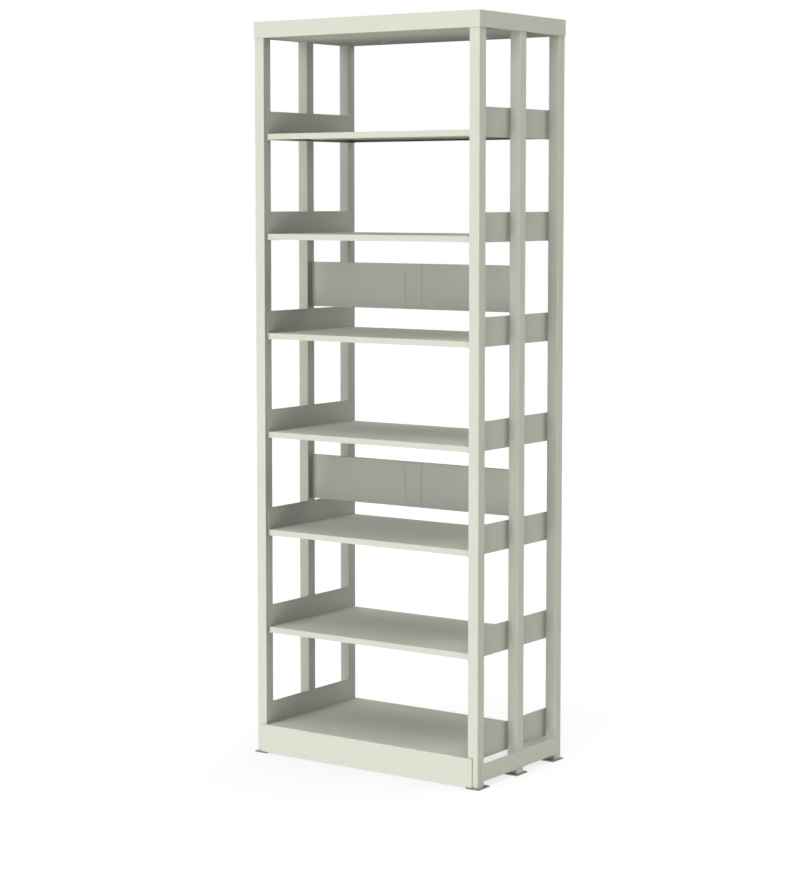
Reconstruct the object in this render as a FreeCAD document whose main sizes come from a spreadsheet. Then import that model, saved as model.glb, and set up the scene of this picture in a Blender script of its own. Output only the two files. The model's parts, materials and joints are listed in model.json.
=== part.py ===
import FreeCAD, Part
import os
import re
import Sketcher

# Free-standing steel shelving that is used from both sides. X runs along the shelves,
# -Y is the front, +Z is up, and the origin lies on the floor under the middle of the unit.

TIERS = 7
DIMENSIONS = [
    ("total_width", 874, "over the outer faces of the posts"),
    ("total_depth", 500, "over the front and rear faces of the posts"),
    ("total_height", 2410, "floor to the top of the cap"),
    ("post_size", 37, "side of the square post"),
    ("post_wall", 1.6, "wall of the post"),
    ("post_corner", 2, "outer corner radius of the post"),
    ("foot_thickness", 3.2, "foot plate"),
    ("foot_inner", 4.5, "foot plate beyond the post, towards the shelves"),
    ("foot_outer", 9, "foot plate beyond the post, away from the shelves"),
    ("foot_end", 6.5, "foot plate beyond a corner post, away from the middle post"),
    ("foot_tail", 22.5, "foot plate beyond a corner post, towards the middle post"),
    ("foot_middle", 14.5, "foot plate before and behind a middle post"),
    ("foot_corner", 3, "corner radius of the foot plate"),
    ("anchor_radius", 4.5, "hole for a floor anchor"),
    ("anchor_reach", 11, "centre of the anchor hole from the face of the post"),
    ("tie_bottom", 20.5, "floor to the underside of the side tie"),
    ("tie_height", 56.5, "side tie"),
    ("frame_sheet", 1.6, "sheet of the ties, brackets and kick plates"),
    ("bend", 1.5, "outer radius of a folded edge"),
    ("tier_count", TIERS, "shelf levels, with the base shelf"),
    ("tier_pitch", 325, "from one shelf level to the next"),
    ("lowest_level", 99, "floor to the top of a shelf on the lowest brackets"),
    ("shelf_thickness", 19, "folded edge of a shelf"),
    ("base_thickness", 17, "folded edge of the base shelf"),
    ("shelf_sheet", 1.2, "sheet of the shelves, panels and cap"),
    ("shelf_setback", 15, "shelf edge behind the face of the post"),
    ("shelf_gap", 0.5, "between a shelf and its bracket"),
    ("shelf_lip", 12, "lip turned in under the long edges of a shelf"),
    ("rib_width", 40, "stiffener under a shelf, across its channel"),
    ("rib_height", 14, "stiffener under a shelf"),
    ("rib_lip", 12, "stiffener, lip welded to the shelf"),
    ("bracket_height", 93, "side bracket"),
    ("bracket_flange", 15, "ledge of the bracket that a shelf rests on"),
    ("hook_low", 16, "underside of the lower hook above the foot of its bracket"),
    ("hook_high", 64, "underside of the upper hook above the foot of its bracket"),
    ("hook_neck", 8, "height of a hook where it passes the wall"),
    ("hook_drop", 6, "tongue of a hook below its neck"),
    ("hook_tongue", 2, "thickness of the tongue"),
    ("hook_play", 0.3, "between the tongue and the inside of the wall"),
    ("slot_width", 2.2, "slot for a hook"),
    ("slot_height", 14.5, "slot for a hook"),
    ("kick_bottom", 3.5, "floor to the underside of the kick plate"),
    ("kick_height", 93.5, "kick plate"),
    ("kick_proud", 4, "kick plate in front of the face of the post"),
    ("kick_overlap", 18.5, "kick plate over the face of a corner post"),
    ("kick_flange", 14, "flange of the kick plate between the posts"),
    ("kick_hook_in", 9, "hook of the kick plate inwards from the middle of the post"),
    ("panel_rise", 80, "stiffening panel above the shelf under it"),
    ("panel_height", 148.5, "stiffening panel"),
    ("panel_face", 7.5, "face of the panel behind the middle of the unit"),
    ("panel_depth", 11, "flanges of the panel"),
    ("panel_seam", 47, "edge of the left half, right of the middle"),
    ("panel_tongue", 60, "end of the tongue of the right half, left of the middle"),
    ("panel_gap", 1.2, "open joint between the halves"),
    ("recess_left", 18.5, "edge of the recess, left of the middle"),
    ("recess_width", 48, "recess pressed into the left half"),
    ("recess_margin", 20, "recess from the top and bottom of the panel"),
    ("recess_depth", 1.2, "recess"),
    ("rivet_radius", 2.4, "shank of a rivet"),
    ("rivet_head", 4.5, "radius of a rivet head"),
    ("rivet_rise", 1.5, "thickness of a rivet head"),
    ("screw_radius", 2.5, "M5 shank"),
    ("screw_head", 4.2, "radius of an M5 head"),
    ("screw_head_rise", 2.8, "thickness of an M5 head"),
    ("screw_length", 12, "M5 shank"),
    ("bolt_radius", 4, "M8 shank"),
    ("bolt_head", 6.5, "half the width across flats of an M8 head"),
    ("bolt_head_rise", 5.5, "thickness of an M8 head"),
    ("bolt_length", 16, "M8 shank"),
    ("hole_play", 0.25, "between a shank and its hole"),
    ("thread_play", 0.05, "between a shank and its thread, or a rivet and its hole"),
    ("nut_plate", 3, "threaded plate in the top of a post"),
    ("cap_height", 52, "cap"),
    ("cap_overhang", 2, "cap beyond the faces of the posts"),
    ("tray_height", 30, "upturned edge of the tray that closes the cap"),
    ("tray_play", 0.3, "between the tray and the cap"),
    ("cap_rib_place", 220, "cap stiffener from the middle of the unit"),
    ("cap_rib_flange", 25, "flange of the cap stiffener"),
    ("cap_screw_place", 150, "cap screw before and behind the middle"),
]
ALIASES = {alias for alias, _, _ in DIMENSIONS}

# Lengths that several pieces share, as expressions on the sheet.
UNDERSIDE = "(total_height - cap_height)"
POST_LENGTH = f"({UNDERSIDE} - foot_thickness)"
POST_X = "(total_width / 2 - post_size / 2)"
POST_Y = "(total_depth / 2 - post_size / 2)"
BORE = "(post_size - 2 * post_wall)"
CLEAR_X = "(total_width / 2 - post_size)"
BRACKET_Z = "(lowest_level - shelf_thickness - frame_sheet)"
SHELF_X = "(total_width / 2 - post_size - frame_sheet - shelf_gap)"
SHELF_Y = "(total_depth / 2 - shelf_setback)"
HOOK_REACH = "(post_wall + hook_play)"
KICK_X = "(total_width / 2 - post_size + kick_overlap)"
CAP_X = "(total_width / 2 + cap_overhang)"
CAP_Y = "(total_depth / 2 + cap_overhang)"
TRAY_INSET = "(shelf_sheet + tray_play)"
TRAY_FLOOR = f"({UNDERSIDE} + shelf_sheet)"
THREAD_RADIUS = "(screw_radius + thread_play)"
RECESS_Z = "(panel_height - 2 * recess_margin)"
PANEL_SCREW_Y = "(panel_face + panel_depth / 2 + shelf_sheet / 4)"
PANEL_SCREW_HEIGHTS = ["(panel_height / 4)", "(panel_height * 3 / 4)"]
PANELS = {"lower": 2, "upper": 4}

NEAR = 1e-4  # two places closer than this are one
SIDES = {"left": -1, "right": 1}
ROWS = {"front": -1, "middle": 0, "rear": 1}

doc = FreeCAD.newDocument("library_shelving")
sheet = doc.addObject("Spreadsheet::Sheet", "dims")
pieces = []


def fill_sheet():
    """One row for each driving dimension: its name, its value and what it measures."""
    for row, (alias, value, meaning) in enumerate(DIMENSIONS, 1):
        sheet.set(f"A{row}", alias)
        sheet.set(f"B{row}", str(value))
        sheet.set(f"C{row}", meaning)
        sheet.setAlias(f"B{row}", alias)
    doc.recompute()


def bound(expression):
    """The expression with each dimension's name turned into a reference to the sheet."""
    def reference(match):
        word = match.group()
        return "dims." + word if word in ALIASES else word
    return re.sub(r"[a-z_]+", reference, expression)


def place(piece, x="0", y="0", z="0", turned=False):
    """Set a piece down at x, y, z, half a turn round where turned is true."""
    turn = FreeCAD.Rotation(FreeCAD.Vector(0, 0, 1), 180 if turned else 0)
    piece.Placement = FreeCAD.Placement(FreeCAD.Vector(), turn)
    for axis, expression in zip("xyz", (x, y, z)):
        piece.setExpression("Placement.Base." + axis, bound(expression))


def new_body(label):
    body = doc.addObject("PartDesign::Body", label)
    body.Label = label
    pieces.append(body)
    return body


def origin_feature(body, role):
    return next(item for item in body.Origin.OriginFeatures if item.Role == role)


def new_sketch(body, name, role, offset):
    """A sketch on one of the body's own planes, its origin moved by the offset."""
    sketch = body.newObject("Sketcher::SketchObject", name)
    sketch.AttachmentSupport = [(origin_feature(body, role), "")]
    sketch.MapMode = "FlatFace"
    for axis, expression in zip("xyz", offset):
        sketch.setExpression("AttachmentOffset.Base." + axis, bound(expression))
    return sketch


def rectangle(body, name, corner, width, depth):
    """A level rectangle that starts at its lowest corner and runs along X and Y."""
    sketch = new_sketch(body, name, "XY_Plane", corner)
    side = 10
    corners = [(0, 0), (side, 0), (side, side), (0, side)]
    points = [FreeCAD.Vector(x, y, 0) for x, y in corners]
    for start, end in zip(points, points[1:] + points[:1]):
        sketch.addGeometry(Part.LineSegment(start, end), False)
    for line in range(4):
        sketch.addConstraint(Sketcher.Constraint("Coincident", line, 2, (line + 1) % 4, 1))
    for line, kind in enumerate(("Horizontal", "Vertical", "Horizontal", "Vertical")):
        sketch.addConstraint(Sketcher.Constraint(kind, line))
    sketch.addConstraint(Sketcher.Constraint("Coincident", 0, 1, -1, 1))
    sketch.addConstraint(Sketcher.Constraint("DistanceX", 0, 1, 0, 2, side))
    sketch.renameConstraint(sketch.ConstraintCount - 1, "width")
    sketch.addConstraint(Sketcher.Constraint("DistanceY", 1, 1, 1, 2, side))
    sketch.renameConstraint(sketch.ConstraintCount - 1, "depth")
    sketch.setExpression("Constraints.width", bound(width))
    sketch.setExpression("Constraints.depth", bound(depth))
    return sketch


def pad(body, name, corner, size):
    """Add a block: its lowest corner, then its size along X, Y and Z."""
    feature = body.newObject("PartDesign::Pad", name)
    feature.Profile = rectangle(body, name + "_outline", corner, size[0], size[1])
    feature.setExpression("Length", bound(size[2]))
    return feature


def pocket(body, name, corner, size):
    """Cut a block away, downwards from a sketch at the top of the block."""
    top = (corner[0], corner[1], f"{corner[2]} + {size[2]}")
    feature = body.newObject("PartDesign::Pocket", name)
    feature.Profile = rectangle(body, name + "_outline", top, size[0], size[1])
    feature.setExpression("Length", bound(size[2]))
    return feature


def drill(body, name, role, centre, radius, depth):
    """Cut round holes against the direction in which the origin plane faces."""
    sketch = new_sketch(body, name + "_circle", role, centre)
    circle = Part.Circle(FreeCAD.Vector(), FreeCAD.Vector(0, 0, 1), 1)
    sketch.addGeometry(circle, False)
    sketch.addConstraint(Sketcher.Constraint("Coincident", 0, 3, -1, 1))
    sketch.addConstraint(Sketcher.Constraint("Radius", 0, 1))
    sketch.renameConstraint(sketch.ConstraintCount - 1, "radius")
    sketch.setExpression("Constraints.radius", bound(radius))
    feature = body.newObject("PartDesign::Pocket", name)
    feature.Profile = sketch
    feature.setExpression("Length", bound(depth))
    return feature


def repeat(body, name, features, role, span, count):
    """Repeat features along one of the body's axes."""
    pattern = body.newObject("PartDesign::LinearPattern", name)
    pattern.Originals = features
    pattern.Direction = (origin_feature(body, role), [""])
    pattern.setExpression("Length", bound(span))
    pattern.setExpression("Occurrences", bound(count))
    body.Tip = pattern
    return pattern


def round_edges(body, name, base, radius, chosen):
    """Round those edges of a finished feature that the test picks."""
    doc.recompute()
    box = base.Shape.BoundBox
    edges = [f"Edge{number}" for number, edge in enumerate(base.Shape.Edges, 1) if chosen(edge, box)]
    feature = body.newObject("PartDesign::Fillet", name)
    feature.Base = (base, edges)
    feature.setExpression("Radius", bound(radius))
    return feature


def upright(edge, box):
    return abs(edge.tangentAt(edge.FirstParameter).z) > 0.99


def top_or_upright(edge, box):
    return upright(edge, box) or edge.BoundBox.ZMin > box.ZMax - NEAR


def at_front(edge, box):
    return edge.BoundBox.YMax < box.YMin + NEAR


def at_foot_outside(edge, box):
    """The lowest edge on the side that faces a post."""
    return edge.BoundBox.ZMax < box.ZMin + NEAR and edge.BoundBox.XMin > box.XMax - NEAR


# ---- side frames ----

def post(row, side):
    """Square tube with a slot behind each hook and, in the middle row, screw holes."""
    body = new_body(f"{row}_{side}_post")
    half = "-post_size / 2"
    tube = pad(body, "tube", (half, half, "foot_thickness"), ("post_size", "post_size", POST_LENGTH))
    round_edges(body, "corners", tube, "post_corner", upright)
    pocket(body, "bore", (f"-{BORE} / 2", f"-{BORE} / 2", "foot_thickness"), (BORE, BORE, POST_LENGTH))
    slots = []
    for name in ("hook_low", "hook_high"):
        corner = (half, "-slot_width / 2", f"{BRACKET_Z} + {name}")
        size = ("post_wall", "slot_width", "slot_height")
        slots.append(pocket(body, "slot_for_" + name, corner, size))
    repeat(body, "slots", slots, "Z_Axis", "(tier_count - 1) * tier_pitch", "tier_count")
    facing = ROWS[row] * SIDES[side]
    if facing:
        kick_slots(body, facing)
    else:
        panel_screw_holes(body, side)
    place(body, f"{SIDES[side]} * {POST_X}", f"{ROWS[row]} * {POST_Y}", turned=side == "left")


def kick_slots(body, facing):
    """Slots for the kick plate, in the front (-1) or rear (1) face of a corner post."""
    y = "-post_size / 2" if facing < 0 else "post_size / 2 - post_wall"
    for name in ("hook_low", "hook_high"):
        corner = ("-kick_hook_in - slot_width / 2", y, f"kick_bottom + {name}")
        pocket(body, "kick_slot_for_" + name, corner, ("slot_width", "post_wall", "slot_height"))


def panel_screw_holes(body, side):
    """Holes for the panel screws, in the face of a middle post towards the shelves."""
    inside = "post_wall - post_size / 2"
    across = PANEL_SCREW_Y if side == "right" else f"-{PANEL_SCREW_Y}"
    for panel, level in PANELS.items():
        for number, height in enumerate(PANEL_SCREW_HEIGHTS, 1):
            centre = (across, f"{panel_bottom(level)} + {height}", inside)
            drill(body, f"{panel}_panel_hole_{number}", "YZ_Plane", centre,
                  "screw_radius + hole_play", "post_wall")


def panel_bottom(level):
    return f"(lowest_level + {level} * tier_pitch + panel_rise)"


def foot_plate(row, side):
    """Plate under a post; at the corners its tail has a hole for a floor anchor."""
    body = new_body(f"{row}_{side}_foot_plate")
    facing = ROWS[row] * SIDES[side]
    before = {-1: "foot_end", 0: "foot_middle", 1: "foot_tail"}[facing]
    behind = {-1: "foot_tail", 0: "foot_middle", 1: "foot_end"}[facing]
    corner = ("-post_size / 2 - foot_inner", f"-post_size / 2 - {before}", "0")
    size = ("post_size + foot_inner + foot_outer", f"post_size + {before} + {behind}", "foot_thickness")
    plate = pad(body, "plate", corner, size)
    round_edges(body, "corners", plate, "foot_corner", upright)
    if facing:
        centre = ("0", f"{-facing} * (post_size / 2 + anchor_reach)", "foot_thickness")
        drill(body, "anchor_hole", "XY_Plane", centre, "anchor_radius", "foot_thickness")
    place(body, f"{SIDES[side]} * {POST_X}", f"{ROWS[row]} * {POST_Y}", turned=side == "left")


def tie(side):
    """Flat plate on the outside of the three posts of a side, between the middles of the corner posts."""
    body = new_body(f"{side}_tie")
    pad(body, "plate", ("0", f"-{POST_Y}", "0"), ("frame_sheet", f"2 * {POST_Y}", "tie_height"))
    place(body, f"{SIDES[side]} * total_width / 2", "0", "tie_bottom", turned=side == "left")


def nut_plates():
    """Threaded plates welded into the tops of the posts, one for each."""
    plates = []
    for side, side_sign in SIDES.items():
        for row, row_sign in ROWS.items():
            name = f"nut_plate_{row}_{side}"
            blank = doc.addObject("Part::Box", name + "_blank")
            blank.setExpression("Length", bound(BORE))
            blank.setExpression("Width", bound(BORE))
            blank.setExpression("Height", bound("nut_plate"))
            thread = doc.addObject("Part::Cylinder", name + "_thread")
            thread.setExpression("Radius", bound("bolt_radius + thread_play"))
            thread.setExpression("Height", bound("nut_plate"))
            x = f"{side_sign} * {POST_X}"
            y = f"{row_sign} * {POST_Y}"
            z = f"{UNDERSIDE} - nut_plate"
            place(blank, f"{x} - {BORE} / 2", f"{y} - {BORE} / 2", z)
            place(thread, x, y, z)
            cut = doc.addObject("Part::Cut", name)
            cut.Base = blank
            cut.Tool = thread
            plates.append(cut)
    group("post_nut_plates", plates)


def group(label, members):
    """Identical loose pieces under one name."""
    compound = doc.addObject("Part::Compound", label)
    compound.Label = label
    compound.Links = members
    pieces.append(compound)


# ---- shelves ----

def hook_blocks(body, name, y, start, height):
    """A hook that passes a wall along +X and drops behind it."""
    side = f"{y} - frame_sheet / 2"
    reach = f"{HOOK_REACH} + hook_tongue - ({start})"
    neck = pad(body, name + "_neck", (start, side, height), (reach, "frame_sheet", "hook_neck"))
    tongue = pad(body, name + "_tongue", (HOOK_REACH, side, f"{height} - hook_drop"),
                 ("hook_tongue", "frame_sheet", "hook_drop + hook_neck"))
    return [neck, tongue]


def bracket(name, level, side):
    """Side plate with a ledge for the shelf and hooks in all three posts of its side."""
    body = new_body(f"{name}_{side}_bracket")
    length = f"(2 * {SHELF_Y})"
    y = f"-{SHELF_Y}"
    pad(body, "plate", ("-frame_sheet", y, "0"), ("frame_sheet", length, "bracket_height"))
    ledge = pad(body, "ledge", ("-bracket_flange", y, "0"), ("bracket_flange", length, "frame_sheet"))
    round_edges(body, "fold", ledge, "bend", at_foot_outside)
    features = []
    for height in ("hook_low", "hook_high"):
        features += hook_blocks(body, height, f"-{POST_Y}", "-frame_sheet", height)
    repeat(body, "hooks", features, "Y_Axis", f"2 * {POST_Y}", "3")
    place(body, f"{SIDES[side]} * {CLEAR_X}", "0", f"{BRACKET_Z} + {level} * tier_pitch",
          turned=side == "left")


def shelf_board(label, level, thickness):
    """Sheet folded down on four sides, with a lip turned in under each long edge."""
    body = new_body(label)
    width = f"(2 * {SHELF_X})"
    depth = f"(2 * {SHELF_Y})"
    board = pad(body, "board", (f"-{SHELF_X}", f"-{SHELF_Y}", "0"), (width, depth, thickness))
    round_edges(body, "folds", board, "bend", top_or_upright)
    inner_x = f"({SHELF_X} - shelf_sheet)"
    inner_y = f"({SHELF_Y} - shelf_sheet)"
    mouth_y = f"({SHELF_Y} - shelf_lip)"
    pocket(body, "mouth", (f"-{inner_x}", f"-{mouth_y}", "0"),
           (f"2 * {inner_x}", f"2 * {mouth_y}", "shelf_sheet"))
    pocket(body, "hollow", (f"-{inner_x}", f"-{inner_y}", "shelf_sheet"),
           (f"2 * {inner_x}", f"2 * {inner_y}", f"({thickness} - 2 * shelf_sheet)"))
    place(body, z=shelf_bottom(level))


def shelf_bottom(level):
    return f"({BRACKET_Z} + frame_sheet + {level} * tier_pitch)"


def shelf_stiffener(label, level, thickness):
    """Channel along the middle of a shelf, its lips welded to the sheet above."""
    body = new_body(label + "_stiffener")
    half = f"({SHELF_X} - 2 * shelf_sheet)"
    length = f"(2 * {half})"
    wall = "(rib_height - shelf_sheet)"
    pad(body, "web", (f"-{half}", "-rib_width / 2", "0"), (length, "rib_width", "shelf_sheet"))
    for name, y in (("front_wall", "-rib_width / 2"), ("rear_wall", "rib_width / 2 - shelf_sheet")):
        pad(body, name, (f"-{half}", y, "0"), (length, "shelf_sheet", "rib_height"))
    for name, y in (("front_lip", "-rib_width / 2 - rib_lip"), ("rear_lip", "rib_width / 2 - shelf_sheet")):
        pad(body, name, (f"-{half}", y, wall), (length, "rib_lip + shelf_sheet", "shelf_sheet"))
    place(body, z=f"{shelf_bottom(level)} + {thickness} - shelf_sheet - rib_height")


def tier(level):
    """One level: the shelf with its stiffener, and a bracket at each end."""
    name = f"shelf_{level}" if level else "base_shelf"
    thickness = "shelf_thickness" if level else "base_thickness"
    shelf_board(name, level, thickness)
    shelf_stiffener(name, level, thickness)
    for side in SIDES:
        bracket(name, level, side)


# ---- kick plates ----

def kick_plate(row):
    """Tray-shaped cover between the base shelf and the floor, hooked to the corner posts."""
    body = new_body(f"{row}_kick_plate")
    face = pad(body, "face", (f"-{KICK_X}", "-kick_proud", "0"),
               (f"2 * {KICK_X}", "kick_proud", "kick_height"))
    round_edges(body, "folds", face, "bend", at_front)
    pocket(body, "hollow", (f"-{KICK_X} + frame_sheet", "frame_sheet - kick_proud", "frame_sheet"),
           (f"2 * {KICK_X} - 2 * frame_sheet", "kick_proud - frame_sheet", "kick_height - 2 * frame_sheet"))
    inner = f"({CLEAR_X} - shelf_gap)"
    pad(body, "flange", (f"-{inner}", "-frame_sheet", "kick_height - frame_sheet"),
        (f"2 * {inner}", "kick_flange + frame_sheet", "frame_sheet"))
    for side, sign in SIDES.items():
        for name in ("hook_low", "hook_high"):
            x = f"{sign} * ({POST_X} - kick_hook_in) - frame_sheet / 2"
            neck_y = "frame_sheet - kick_proud - shelf_sheet / 2"
            pad(body, f"{side}_{name}_neck", (x, neck_y, name),
                ("frame_sheet", f"{HOOK_REACH} + hook_tongue - ({neck_y})", "hook_neck"))
            pad(body, f"{side}_{name}_tongue", (x, HOOK_REACH, f"{name} - hook_drop"),
                ("frame_sheet", "hook_tongue", "hook_drop + hook_neck"))
    place(body, "0", f"{ROWS[row]} * total_depth / 2", "kick_bottom", turned=row == "rear")


# ---- stiffening panels ----

def panel_skin(body, left, right):
    """Web and both flanges of a panel half from left to right."""
    width = f"({right} - ({left}))"
    pad(body, "web", (left, "panel_face", "0"), (width, "shelf_sheet", "panel_height"))
    for name, z in (("lower_flange", "0"), ("upper_flange", "panel_height - shelf_sheet")):
        pad(body, name, (left, "panel_face", z), (width, "panel_depth", "shelf_sheet"))


def panel_end(body, inner, outer_face_inside):
    """Upright flange against the post, with two screw holes."""
    pad(body, "end_flange", (inner, "panel_face", "0"), ("shelf_sheet", "panel_depth", "panel_height"))
    for number, height in enumerate(PANEL_SCREW_HEIGHTS, 1):
        drill(body, f"end_hole_{number}", "YZ_Plane", (PANEL_SCREW_Y, height, outer_face_inside),
              "screw_radius + hole_play", "shelf_sheet")


def panel_left(panel, level):
    """Left half: a shallow recess near its free edge takes the rivets."""
    body = new_body(f"{panel}_panel_left")
    panel_skin(body, f"-{CLEAR_X}", "panel_seam")
    panel_end(body, f"-{CLEAR_X}", f"shelf_sheet - {CLEAR_X}")
    pad(body, "recess_back", ("-recess_left - shelf_sheet", "panel_face", "recess_margin - shelf_sheet"),
        ("recess_width + 2 * shelf_sheet", "recess_depth + shelf_sheet", f"{RECESS_Z} + 2 * shelf_sheet"))
    pocket(body, "recess", ("-recess_left", "panel_face", "recess_margin"),
           ("recess_width", "recess_depth", RECESS_Z))
    rivet_holes(body, "panel_face + recess_depth")
    place(body, z=panel_bottom(level))


def panel_right(panel, level):
    """Right half: a set-back tongue runs behind the left half."""
    body = new_body(f"{panel}_panel_right")
    start = "(panel_seam + panel_gap)"
    back = "(panel_face + recess_depth + shelf_sheet)"
    panel_skin(body, start, CLEAR_X)
    panel_end(body, f"{CLEAR_X} - shelf_sheet", CLEAR_X)
    clear = "(2 * shelf_sheet)"
    tongue_height = f"(panel_height - 2 * {clear})"
    pad(body, "step", (start, "panel_face", clear),
        ("shelf_sheet", "recess_depth + 2 * shelf_sheet", tongue_height))
    pad(body, "tongue", ("-panel_tongue", back, clear),
        (f"panel_tongue + {start} + shelf_sheet", "shelf_sheet", tongue_height))
    rivet_holes(body, back)
    place(body, z=panel_bottom(level))


def rivet_holes(body, front):
    for number, height in enumerate(PANEL_SCREW_HEIGHTS, 1):
        centre = ("recess_width / 2 - recess_left", height, f"-({front})")
        drill(body, f"rivet_hole_{number}", "XZ_Plane", centre, "rivet_radius + thread_play", "shelf_sheet")


# ---- cap ----

def top_cap():
    """Cover with its edges folded down on four sides."""
    body = new_body("top_cap")
    cover = pad(body, "cover", (f"-{CAP_X}", f"-{CAP_Y}", UNDERSIDE),
                (f"2 * {CAP_X}", f"2 * {CAP_Y}", "cap_height"))
    round_edges(body, "folds", cover, "bend", top_or_upright)
    pocket(body, "hollow", (f"shelf_sheet - {CAP_X}", f"shelf_sheet - {CAP_Y}", UNDERSIDE),
           (f"2 * {CAP_X} - 2 * shelf_sheet", f"2 * {CAP_Y} - 2 * shelf_sheet", "cap_height - shelf_sheet"))


def cap_tray():
    """Tray inside the cap that closes it below and is bolted to the posts."""
    body = new_body("cap_tray")
    half_x = f"({CAP_X} - {TRAY_INSET})"
    half_y = f"({CAP_Y} - {TRAY_INSET})"
    inner_x = f"({half_x} - shelf_sheet)"
    inner_y = f"({half_y} - shelf_sheet)"
    pad(body, "blank", (f"-{half_x}", f"-{half_y}", UNDERSIDE),
        (f"2 * {half_x}", f"2 * {half_y}", "tray_height"))
    pocket(body, "hollow", (f"-{inner_x}", f"-{inner_y}", TRAY_FLOOR),
           (f"2 * {inner_x}", f"2 * {inner_y}", "tray_height - shelf_sheet"))
    for row, row_sign in ROWS.items():
        for side, side_sign in SIDES.items():
            centre = (f"{side_sign} * {POST_X}", f"{row_sign} * {POST_Y}", TRAY_FLOOR)
            drill(body, f"{row}_{side}_bolt_hole", "XY_Plane", centre,
                  "bolt_radius + hole_play", "shelf_sheet")
    for number, (x, y) in enumerate(cap_screw_places(), 1):
        drill(body, f"screw_hole_{number}", "XY_Plane", (x, y, TRAY_FLOOR),
              "screw_radius + hole_play", "shelf_sheet")


def cap_screw_places():
    """Where the four cap screws stand, in the middle of the stiffeners' flanges."""
    x = "(cap_rib_place - cap_rib_flange / 2)"
    return [(f"{side} * {x}", f"{row} * cap_screw_place") for side in (-1, 1) for row in (-1, 1)]


def cap_stiffener(side):
    """Channel across the inside of the cap, open towards the middle of the unit."""
    body = new_body(f"cap_stiffener_{side}")
    half = f"({CAP_Y} - {TRAY_INSET} - 2 * shelf_sheet)"
    rise = "(cap_height - 2 * shelf_sheet)"
    pad(body, "web", ("-frame_sheet", f"-{half}", "0"), ("frame_sheet", f"2 * {half}", rise))
    for name, z in (("lower_flange", "0"), ("upper_flange", f"{rise} - frame_sheet")):
        pad(body, name, ("-cap_rib_flange", f"-{half}", z), ("cap_rib_flange", f"2 * {half}", "frame_sheet"))
    for name, sign in (("front", -1), ("rear", 1)):
        centre = ("-cap_rib_flange / 2", f"{sign} * cap_screw_place", "frame_sheet")
        drill(body, f"{name}_hole", "XY_Plane", centre, THREAD_RADIUS, "frame_sheet")
    place(body, f"{SIDES[side]} * cap_rib_place", "0", TRAY_FLOOR, turned=side == "left")


# ---- fasteners ----

def cylinder(name, radius, height):
    solid = doc.addObject("Part::Cylinder", name)
    solid.setExpression("Radius", bound(radius))
    solid.setExpression("Height", bound(height))
    return solid


def fastener(name, head, socket, shank_radius, shank_length):
    """A head on the origin plane, its shank below it and a socket in its top."""
    shank = cylinder(name + "_shank", shank_radius, shank_length)
    place(shank, z=f"-({shank_length})")
    joined = doc.addObject("Part::Fuse", name + "_solid")
    joined.Base = head
    joined.Tool = shank
    if socket is None:
        return joined
    cut = doc.addObject("Part::Cut", name)
    cut.Base = joined
    cut.Tool = socket
    return cut


def hexagon(name, across_flats, height, z):
    """A six-sided block; its own size is measured to the corners."""
    prism = doc.addObject("Part::Prism", name)
    prism.Polygon = 6
    prism.setExpression("Circumradius", bound(f"({across_flats}) * 2 / sqrt(3)"))
    prism.setExpression("Height", bound(height))
    place(prism, z=z)
    return prism


def aim(piece, x, y, z, axis, angle):
    """Turn a fastener about an axis through its origin, then set it down."""
    piece.Placement = FreeCAD.Placement(FreeCAD.Vector(), FreeCAD.Rotation(FreeCAD.Vector(*axis), angle))
    for letter, expression in zip("xyz", (x, y, z)):
        piece.setExpression("Placement.Base." + letter, bound(expression))


def tray_bolts():
    """Bolts from inside the cap tray into the threaded plates of the posts."""
    bolts = []
    for side, side_sign in SIDES.items():
        for row, row_sign in ROWS.items():
            name = f"tray_bolt_{row}_{side}"
            head = hexagon(name + "_head", "bolt_head", "bolt_head_rise", "0")
            bolt = fastener(name, head, None, "bolt_radius", "bolt_length")
            place(bolt, f"{side_sign} * {POST_X}", f"{row_sign} * {POST_Y}", TRAY_FLOOR)
            bolts.append(bolt)
    group("cap_tray_bolts", bolts)


def socket_screw(name):
    """A low cylinder head with a hexagon socket."""
    head = cylinder(name + "_head", "screw_head", "screw_head_rise")
    socket = hexagon(name + "_socket", "screw_head * 0.36", "screw_head_rise * 0.6", "screw_head_rise * 0.4")
    return fastener(name, head, socket, "screw_radius", "screw_length")


def cap_cover_screws():
    """Screws from below, through the tray into the cap stiffeners."""
    screws = []
    for number, (x, y) in enumerate(cap_screw_places(), 1):
        screw = socket_screw(f"cap_screw_{number}")
        aim(screw, x, y, UNDERSIDE, (1, 0, 0), 180)
        screws.append(screw)
    group("cap_cover_screws", screws)


def panel_end_screws():
    """Screws through the end flanges of the panels into the middle posts."""
    screws = []
    for panel, level in PANELS.items():
        for side, sign in SIDES.items():
            for number, height in enumerate(PANEL_SCREW_HEIGHTS, 1):
                screw = socket_screw(f"{panel}_panel_screw_{side}_{number}")
                aim(screw, f"{sign} * ({CLEAR_X} - shelf_sheet)", PANEL_SCREW_Y,
                    f"{panel_bottom(level)} + {height}", (0, 1, 0), -90 * sign)
                screws.append(screw)
    group("panel_end_screws", screws)


def panel_rivets():
    """Rivets through the recess and the tongue, their heads at the back."""
    rivets = []
    for panel, level in PANELS.items():
        for number, height in enumerate(PANEL_SCREW_HEIGHTS, 1):
            name = f"{panel}_panel_rivet_{number}"
            head = cylinder(name + "_head", "rivet_head", "rivet_rise")
            rivet = fastener(name, head, None, "rivet_radius", "2 * shelf_sheet")
            aim(rivet, "recess_width / 2 - recess_left", "panel_face + recess_depth + 2 * shelf_sheet",
                f"{panel_bottom(level)} + {height}", (1, 0, 0), -90)
            rivets.append(rivet)
    group("panel_joint_rivets", rivets)


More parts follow.
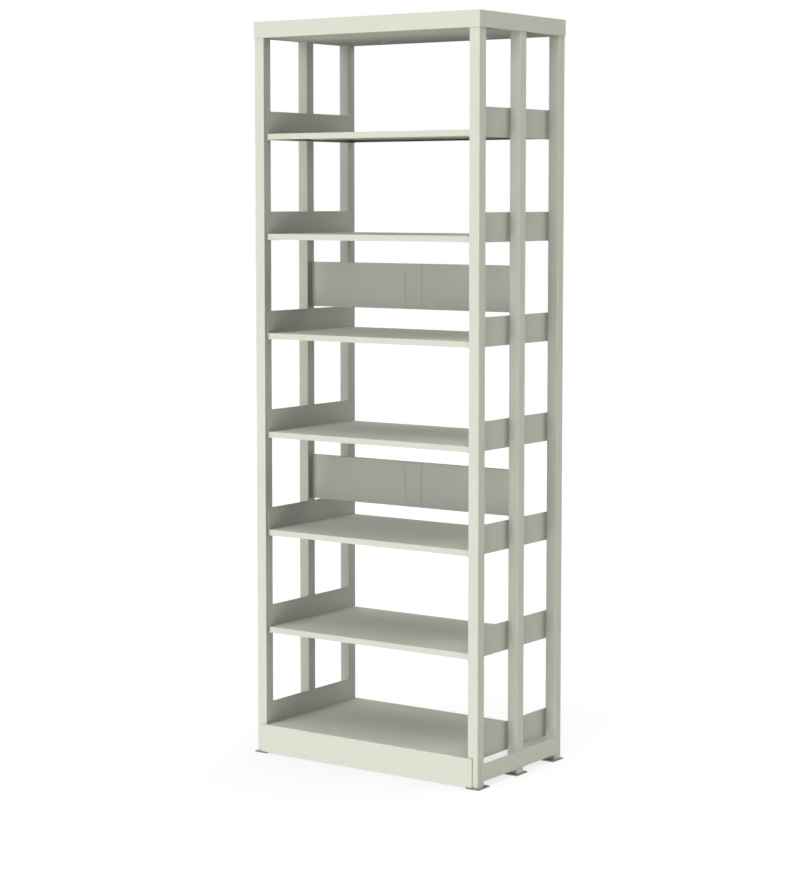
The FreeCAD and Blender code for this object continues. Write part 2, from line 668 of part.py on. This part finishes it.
def build():
    fill_sheet()
    for side in SIDES:
        for row in ROWS:
            post(row, side)
            foot_plate(row, side)
        tie(side)
        cap_stiffener(side)
    nut_plates()
    for level in range(TIERS):
        tier(level)
    for row in ("front", "rear"):
        kick_plate(row)
    for panel, level in PANELS.items():
        panel_left(panel, level)
        panel_right(panel, level)
    top_cap()
    cap_tray()
    tray_bolts()
    cap_cover_screws()
    panel_end_screws()
    panel_rivets()
    doc.recompute()


def check():
    """Stop on any object that failed, and on any piece with a bad shape."""
    for item in doc.Objects:
        if "Invalid" in item.State or "Error" in item.State:
            raise RuntimeError(f"{item.Label} failed: {item.State}")
    for piece in pieces:
        if piece.Shape.isNull() or not piece.Shape.isValid():
            raise RuntimeError(f"{piece.Label} has no valid shape")


def write():
    os.makedirs("parts", exist_ok=True)
    for piece in pieces:
        piece.Shape.exportStep(f"parts/{piece.Label}.step")


build()
check()
write()
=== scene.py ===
import bpy
import json
import math
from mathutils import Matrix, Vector


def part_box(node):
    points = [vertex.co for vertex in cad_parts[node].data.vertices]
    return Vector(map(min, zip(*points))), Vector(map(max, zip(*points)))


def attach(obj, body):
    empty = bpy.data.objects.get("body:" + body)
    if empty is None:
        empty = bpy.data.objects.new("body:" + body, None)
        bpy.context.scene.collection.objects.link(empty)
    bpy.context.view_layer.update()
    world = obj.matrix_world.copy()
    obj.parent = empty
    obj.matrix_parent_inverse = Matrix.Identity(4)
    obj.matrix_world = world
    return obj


# Free-standing steel library shelving. X runs along the shelves, -Y is the front, +Z is up.
# Lengths are in metres, but those of the lens and its sensor in millimetres.

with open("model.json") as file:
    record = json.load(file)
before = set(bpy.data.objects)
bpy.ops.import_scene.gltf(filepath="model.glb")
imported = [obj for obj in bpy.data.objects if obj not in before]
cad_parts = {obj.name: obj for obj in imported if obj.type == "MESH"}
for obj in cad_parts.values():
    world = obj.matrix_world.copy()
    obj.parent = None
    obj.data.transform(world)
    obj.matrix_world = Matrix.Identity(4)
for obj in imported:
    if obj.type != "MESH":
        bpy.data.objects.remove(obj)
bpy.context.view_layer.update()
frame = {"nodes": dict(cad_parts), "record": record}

# Finishes
IVORY = (0.782, 0.782, 0.700, 1)
IVORY_SHADE = (0.757, 0.757, 0.680, 1)
ZINC = (0.30, 0.30, 0.29, 1)
ZINC_SHADE = (0.22, 0.22, 0.215, 1)
BRIGHT_ZINC = (0.62, 0.62, 0.60, 1)
NOISE_RANGE = (0.3, 0.7)  # the middle part of a noise, which holds nearly all of it
GRAIN_STRENGTH = 0.3

# Weld beads of the frame
POST_ROWS = ("front", "middle", "rear")
BEAD_RADIUS = 0.0022
BEAD_SIDES = 10
BEAD_RIPPLE = 0.002  # from one ripple to the next
STEPS_PER_RIPPLE = 4
RIPPLE_DEPTH = 0.10  # half the height of a ripple, as a share of the thickness
BEAD_END = 0.4  # thickness at the very end, as a share of the full one
BEAD_TAPER = 0.3  # growth of that share for each radius further in
BEAD_SINK = 0.0008  # from the tie to the middle of an upright bead
TIE_BEAD_ENDS = (0.028, 0.070)  # heights, a little inside the edges of the tie
FOOT_BEAD_ENDS = (0.403, 0.434)  # to each side of the middle, a little inside the sides of the posts

# Spot welds of the shelves
SHELVES = ["base_shelf"] + [f"shelf_{level}" for level in range(1, 7)]
SHEET = 0.0012  # of the stiffener
SPOT_RADIUS = 0.0026
SPOT_SIDES = 12
RIM_RADIUS = 0.0003
RIM_SIDES = 4
SPOT_STEP = 0.060
SPOTS_EACH_WAY = 6  # on each side of the middle one
SPOT_ROWS = (-0.026, 0.026)

# Studio. Angles are in degrees: azimuth 0 is the front and 90 the right, and an elevation under 0 is
# below the floor. Each lamp has a name, its azimuth, elevation and width, its strength and its colour.
FLOOR_HALF = 40.0
FLOOR_PALE = (0.30, 0.30, 0.30, 1)
FLOOR_WHITE = 0.79  # its glow, which with the light on it comes out white
WHITE = (1, 1, 1)
WARM = (1, 1, 0.93)
LAMPS = (
    ("front", 0, 35, 80, 1.68, WHITE),
    ("high_front", 0, 65, 80, 0.40, WHITE),
    ("below_front", 0, -40, 60, 1.62, WARM),
    ("below_right", 60, -12, 30, 0.33, WARM),
    ("low_right", 120, 0, 30, 0.52, WARM),
    ("high_rear", 150, 60, 80, 1.52, WARM),
    ("rear_fill", 180, 0, 20, 1.6, WHITE),
    ("left_fill", -90, 0, 20, 1.6, WHITE),
)
CAMERA_PLACE = (4.26905, -6.1200, 1.83625)
CAMERA_AZIMUTH = 35.20
CAMERA_ELEVATION = 4.89
CAMERA_LENS = 94.47
CAMERA_SENSOR = 36
CAMERA_SHIFT = (0.0040, -0.0469)
CAMERA_REACH = 200  # farther things aren't seen


# ---- shader helpers ----

def feed(tree, socket, value):
    """Sets a socket to a plain number, or links another socket to it."""
    if isinstance(value, (int, float)):
        socket.default_value = value
    else:
        tree.links.new(value, socket)


def calculate(tree, operation, *values):
    """A Math node on sockets or plain numbers; returns its result."""
    node = tree.nodes.new("ShaderNodeMath")
    node.operation = operation
    for place, value in enumerate(values):
        feed(tree, node.inputs[place], value)
    return node.outputs["Value"]


def noise(tree, place, scale, detail, rough):
    """Noise at a place, with its scale from a socket."""
    node = tree.nodes.new("ShaderNodeTexNoise")
    tree.links.new(place, node.inputs["Vector"])
    tree.links.new(scale, node.inputs["Scale"])
    node.inputs["Detail"].default_value = detail
    node.inputs["Roughness"].default_value = rough
    return node.outputs["Fac"]


def spread(tree, value, low, high):
    """Stretches the middle part of a noise, so that it goes from low to high."""
    node = tree.nodes.new("ShaderNodeMapRange")
    tree.links.new(value, node.inputs["Value"])
    for name, end in zip(("From Min", "From Max", "To Min", "To Max"), (*NOISE_RANGE, low, high)):
        feed(tree, node.inputs[name], end)
    return node.outputs["Result"]


def uneven_group():
    """Slow unevenness of a finish, the sheen that goes with it, and a fine grain in its height."""
    tree = bpy.data.node_groups.new("uneven_finish", "ShaderNodeTree")
    for label in ("Patch Scale", "Grain Scale", "Sheen Low", "Sheen High"):
        tree.interface.new_socket(label, in_out="INPUT", socket_type="NodeSocketFloat")
    for label in ("Patches", "Roughness", "Grain"):
        tree.interface.new_socket(label, in_out="OUTPUT", socket_type="NodeSocketFloat")
    given = tree.nodes.new("NodeGroupInput").outputs
    end = tree.nodes.new("NodeGroupOutput")
    place = tree.nodes.new("ShaderNodeTexCoord").outputs["Object"]
    patches = noise(tree, place, given["Patch Scale"], detail=4, rough=0.55)
    grain = noise(tree, place, given["Grain Scale"], detail=2, rough=0.5)
    tree.links.new(spread(tree, patches, 0.0, 1.0), end.inputs["Patches"])
    tree.links.new(spread(tree, patches, given["Sheen Low"], given["Sheen High"]), end.inputs["Roughness"])
    tree.links.new(grain, end.inputs["Grain"])
    return tree


UNEVEN = uneven_group()


def finish(name, colour, shade, metallic, specular, sheen, patch_scale, grain_scale, grain_depth):
    """A material from two close colours, a range of roughness and a grain."""
    material = bpy.data.materials.new(name)
    material.use_nodes = True
    tree = material.node_tree
    shader = tree.nodes["Principled BSDF"]
    group = tree.nodes.new("ShaderNodeGroup")
    group.node_tree = UNEVEN
    group.inputs["Patch Scale"].default_value = patch_scale
    group.inputs["Grain Scale"].default_value = grain_scale
    group.inputs["Sheen Low"].default_value = sheen[0]
    group.inputs["Sheen High"].default_value = sheen[1]
    mix = tree.nodes.new("ShaderNodeMix")
    mix.data_type = "RGBA"
    mix.inputs["A"].default_value = shade
    mix.inputs["B"].default_value = colour
    tree.links.new(group.outputs["Patches"], mix.inputs["Factor"])
    bump = tree.nodes.new("ShaderNodeBump")
    bump.inputs["Strength"].default_value = GRAIN_STRENGTH
    bump.inputs["Distance"].default_value = grain_depth
    tree.links.new(group.outputs["Grain"], bump.inputs["Height"])
    tree.links.new(mix.outputs["Result"], shader.inputs["Base Color"])
    tree.links.new(group.outputs["Roughness"], shader.inputs["Roughness"])
    tree.links.new(bump.outputs["Normal"], shader.inputs["Normal"])
    shader.inputs["Metallic"].default_value = metallic
    shader.inputs["Specular IOR Level"].default_value = specular
    return material


PAINT = finish("ivory_powder_coat", IVORY, IVORY_SHADE, metallic=0.0, specular=0.05, sheen=(0.66, 0.74),
               patch_scale=2.5, grain_scale=420, grain_depth=0.0002)
DULL_PLATE = finish("dull_zinc", ZINC, ZINC_SHADE, metallic=0.55, specular=0.5, sheen=(0.45, 0.62),
                    patch_scale=30, grain_scale=900, grain_depth=0.0002)
BRIGHT_PLATE = finish("bright_zinc", BRIGHT_ZINC, ZINC, metallic=0.9, specular=0.5, sheen=(0.28, 0.42),
                      patch_scale=60, grain_scale=1500, grain_depth=0.0001)
FINISHES = {
    "frame_paint": PAINT,
    "shelf_paint": PAINT,
    "foot_steel": DULL_PLATE,
    "fastener_steel": BRIGHT_PLATE,
}


def paint_nodes():
    """Every node of the frame gets its finish by what it is made of."""
    slots = {part["node"]: part["material_slot"] for part in frame["record"]["subparts"]}
    for name, node in frame["nodes"].items():
        node.data.materials.clear()
        node.data.materials.append(FINISHES[slots[name]])


# ---- welds ----

def grown_tree(name, sizes):
    """An empty Geometry Nodes tree that takes a mesh, named sizes and a finish, and gives a mesh."""
    tree = bpy.data.node_groups.new(name, "GeometryNodeTree")
    tree.interface.new_socket("Geometry", in_out="INPUT", socket_type="NodeSocketGeometry")
    for label in sizes:
        tree.interface.new_socket(label, in_out="INPUT", socket_type="NodeSocketFloat")
    tree.interface.new_socket("Finish", in_out="INPUT", socket_type="NodeSocketMaterial")
    tree.interface.new_socket("Geometry", in_out="OUTPUT", socket_type="NodeSocketGeometry")
    return tree, tree.nodes.new("NodeGroupInput").outputs


def close_tree(tree, geometry, coat):
    """Closes a tree: everything made real, and in its finish."""
    real = tree.nodes.new("GeometryNodeRealizeInstances")
    coated = tree.nodes.new("GeometryNodeSetMaterial")
    end = tree.nodes.new("NodeGroupOutput")
    tree.links.new(geometry, real.inputs["Geometry"])
    tree.links.new(real.outputs["Geometry"], coated.inputs["Geometry"])
    tree.links.new(coat, coated.inputs["Material"])
    tree.links.new(coated.outputs["Geometry"], end.inputs["Geometry"])
    return tree


def round_wire(tree, line, radius, sides):
    """A closed round wire of this radius along a line."""
    outline = tree.nodes.new("GeometryNodeCurvePrimitiveCircle")
    outline.inputs["Resolution"].default_value = sides
    swept = tree.nodes.new("GeometryNodeCurveToMesh")
    swept.inputs["Fill Caps"].default_value = True
    tree.links.new(radius, outline.inputs["Radius"])
    tree.links.new(line, swept.inputs["Curve"])
    tree.links.new(outline.outputs["Curve"], swept.inputs["Profile Curve"])
    return swept.outputs["Mesh"]


def bead_tree():
    """A rippled weld bead along every edge of the mesh, thinner at both ends."""
    tree, given = grown_tree("weld_bead", ("Radius", "Ripple"))
    seam = tree.nodes.new("GeometryNodeMeshToCurve")
    tree.links.new(given["Geometry"], seam.inputs["Mesh"])
    steps = tree.nodes.new("GeometryNodeResampleCurve")
    steps.mode = "LENGTH"
    tree.links.new(seam.outputs["Curve"], steps.inputs["Curve"])
    tree.links.new(calculate(tree, "DIVIDE", given["Ripple"], STEPS_PER_RIPPLE), steps.inputs["Length"])
    along = tree.nodes.new("GeometryNodeSplineParameter").outputs["Length"]
    whole = tree.nodes.new("GeometryNodeSplineLength").outputs["Length"]
    turn = calculate(tree, "MULTIPLY", calculate(tree, "DIVIDE", along, given["Ripple"]), 2 * math.pi)
    ripple = calculate(tree, "MULTIPLY_ADD", calculate(tree, "SINE", turn), RIPPLE_DEPTH, 1 - RIPPLE_DEPTH)
    left = calculate(tree, "MINIMUM", along, calculate(tree, "SUBTRACT", whole, along))
    radii_in = calculate(tree, "DIVIDE", left, given["Radius"])
    taper = calculate(tree, "MULTIPLY_ADD", radii_in, BEAD_TAPER, BEAD_END)
    share = calculate(tree, "MULTIPLY", ripple, calculate(tree, "MINIMUM", taper, 1.0))
    thin = tree.nodes.new("GeometryNodeSetCurveRadius")
    tree.links.new(steps.outputs["Curve"], thin.inputs["Curve"])
    tree.links.new(share, thin.inputs["Radius"])
    bead = round_wire(tree, thin.outputs["Curve"], given["Radius"], BEAD_SIDES)
    return close_tree(tree, bead, given["Finish"])


def spot_tree():
    """The raised rim of a spot weld at every vertex of the mesh."""
    tree, given = grown_tree("spot_weld", ("Radius", "Rim"))
    circle = tree.nodes.new("GeometryNodeCurvePrimitiveCircle")
    circle.inputs["Resolution"].default_value = SPOT_SIDES
    tree.links.new(given["Radius"], circle.inputs["Radius"])
    rim = round_wire(tree, circle.outputs["Curve"], given["Rim"], RIM_SIDES)
    spots = tree.nodes.new("GeometryNodeInstanceOnPoints")
    tree.links.new(given["Geometry"], spots.inputs["Points"])
    tree.links.new(rim, spots.inputs["Instance"])
    return close_tree(tree, spots.outputs["Instances"], given["Finish"])


def grow(name, tree, sizes, points, edges, body, slot):
    """One plain mesh that a tree makes from points and edges, riding on its body."""
    mesh = bpy.data.meshes.new(name)
    mesh.from_pydata(points, edges, [])
    piece = bpy.data.objects.new(name, mesh)
    bpy.context.scene.collection.objects.link(piece)
    grower = piece.modifiers.new(name, "NODES")
    grower.node_group = tree
    settings = dict(sizes, Finish=FINISHES[slot])
    for socket in tree.interface.items_tree:
        if socket.in_out == "INPUT" and socket.name in settings:
            grower[socket.identifier] = settings[socket.name]
    graph = bpy.context.evaluated_depsgraph_get()
    grown = bpy.data.meshes.new_from_object(piece.evaluated_get(graph), depsgraph=graph)
    piece.modifiers.clear()
    piece.data = grown
    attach(piece, body)


def post_gaps():
    """Y of the four faces with which the posts of a side look at each other, from front to rear."""
    front, middle, rear = (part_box(f"{row}_right_post") for row in POST_ROWS)
    return front[1].y, middle[0].y, middle[1].y, rear[0].y


def frame_welds():
    """Beads up the inner corners of the side ties, and across the feet of the posts on the foot plates."""
    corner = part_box("middle_right_post")[1].x - BEAD_SINK
    foot_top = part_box("middle_right_foot_plate")[1].z
    points, edges = [], []
    for side in (-1, 1):
        for y in post_gaps():
            upright = [(side * corner, y, z) for z in TIE_BEAD_ENDS]
            across = [(side * x, y, foot_top) for x in FOOT_BEAD_ENDS]
            for seam in (upright, across):
                edges.append((len(points), len(points) + 1))
                points += seam
    sizes = {"Radius": BEAD_RADIUS, "Ripple": BEAD_RIPPLE}
    grow("frame_welds", bead_tree(), sizes, points, edges, "frame", "frame_paint")


def shelf_spot_welds():
    """Two rows of spot welds that hold the stiffener under each shelf."""
    tree = spot_tree()
    sizes = {"Radius": SPOT_RADIUS, "Rim": RIM_RADIUS}
    steps = range(-SPOTS_EACH_WAY, SPOTS_EACH_WAY + 1)
    for name in SHELVES:
        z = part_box(name + "_stiffener")[1].z - SHEET
        points = [(step * SPOT_STEP, y, z) for step in steps for y in SPOT_ROWS]
        grow(name + "_spot_welds", tree, sizes, points, [], name + "_board", "shelf_paint")


# ---- floor, light and camera ----

def seen_rays(tree):
    """1 for what is seen, straight, mirrored or through glass, and 0 for light that falls on the object."""
    path = tree.nodes.new("ShaderNodeLightPath")
    seen = path.outputs["Is Camera Ray"]
    for ray in ("Is Glossy Ray", "Is Transmission Ray"):
        seen = calculate(tree, "MAXIMUM", seen, path.outputs[ray])
    return seen


def floor_material():
    """White where it is looked at or mirrored, with the object's soft shadow on it."""
    material = bpy.data.materials.new("pale_floor")
    material.use_nodes = True
    tree = material.node_tree
    shader = tree.nodes["Principled BSDF"]
    shader.inputs["Base Color"].default_value = FLOOR_PALE
    shader.inputs["Roughness"].default_value = 0.9
    shader.inputs["Specular IOR Level"].default_value = 0.0
    glow = tree.nodes.new("ShaderNodeEmission")
    tree.links.new(calculate(tree, "MULTIPLY", seen_rays(tree), FLOOR_WHITE), glow.inputs["Strength"])
    both = tree.nodes.new("ShaderNodeAddShader")
    tree.links.new(shader.outputs["BSDF"], both.inputs[0])
    tree.links.new(glow.outputs["Emission"], both.inputs[1])
    tree.links.new(both.outputs["Shader"], tree.nodes["Material Output"].inputs["Surface"])
    return material


def make_floor():
    """A wide floor that lets through the lamps below it, which stand for light thrown up by a pale room."""
    corners = [(x * FLOOR_HALF, y * FLOOR_HALF, 0) for x, y in ((-1, -1), (1, -1), (1, 1), (-1, 1))]
    mesh = bpy.data.meshes.new("floor")
    mesh.from_pydata(corners, [], [(0, 1, 2, 3)])
    mesh.materials.append(floor_material())
    floor = bpy.data.objects.new("floor", mesh)
    floor.visible_shadow = False  # the lamps below shine through it
    floor.visible_diffuse = False  # and no ray that gathers their light ends on it
    bpy.context.scene.collection.objects.link(floor)


def make_world():
    """White where it is looked at or mirrored, and no light on the object."""
    world = bpy.data.worlds.new("studio")
    bpy.context.scene.world = world
    world.use_nodes = True
    tree = world.node_tree
    sky = tree.nodes["Background"]
    sky.inputs["Color"].default_value = (1, 1, 1, 1)
    tree.links.new(seen_rays(tree), sky.inputs["Strength"])


def direction(azimuth, elevation):
    """From the object towards a place at this azimuth and elevation, in degrees."""
    a, e = math.radians(azimuth), math.radians(elevation)
    return Vector((math.sin(a) * math.cos(e), -math.cos(a) * math.cos(e), math.sin(e)))


def sun(name, azimuth, elevation, width, strength, colour):
    """Soft parallel light from this direction, as even at the foot of the unit as at its cap."""
    light = bpy.data.lights.new(name, "SUN")
    light.angle = math.radians(width)
    light.energy = strength
    light.color = colour
    thing = bpy.data.objects.new(name, light)
    thing.rotation_euler = (-direction(azimuth, elevation)).to_track_quat("-Z", "Y").to_euler()
    bpy.context.scene.collection.objects.link(thing)


def make_camera():
    """A long lens at the front right, as high as the upper shelves."""
    camera = bpy.data.cameras.new("camera")
    camera.sensor_width = CAMERA_SENSOR
    camera.lens = CAMERA_LENS
    camera.shift_x, camera.shift_y = CAMERA_SHIFT
    camera.clip_end = CAMERA_REACH
    thing = bpy.data.objects.new("camera", camera)
    thing.location = CAMERA_PLACE
    thing.rotation_euler = (-direction(CAMERA_AZIMUTH, CAMERA_ELEVATION)).to_track_quat("-Z", "Y").to_euler()
    bpy.context.scene.collection.objects.link(thing)
    bpy.context.scene.camera = thing


paint_nodes()
frame_welds()
shelf_spot_welds()
make_floor()
make_world()
for lamp in LAMPS:
    sun(*lamp)
make_camera()
# The lamps already stand for what a room throws back, so no light bounces from shelf to shelf.
bpy.context.scene.cycles.diffuse_bounces = 0
bpy.context.scene.view_settings.view_transform = "Standard"
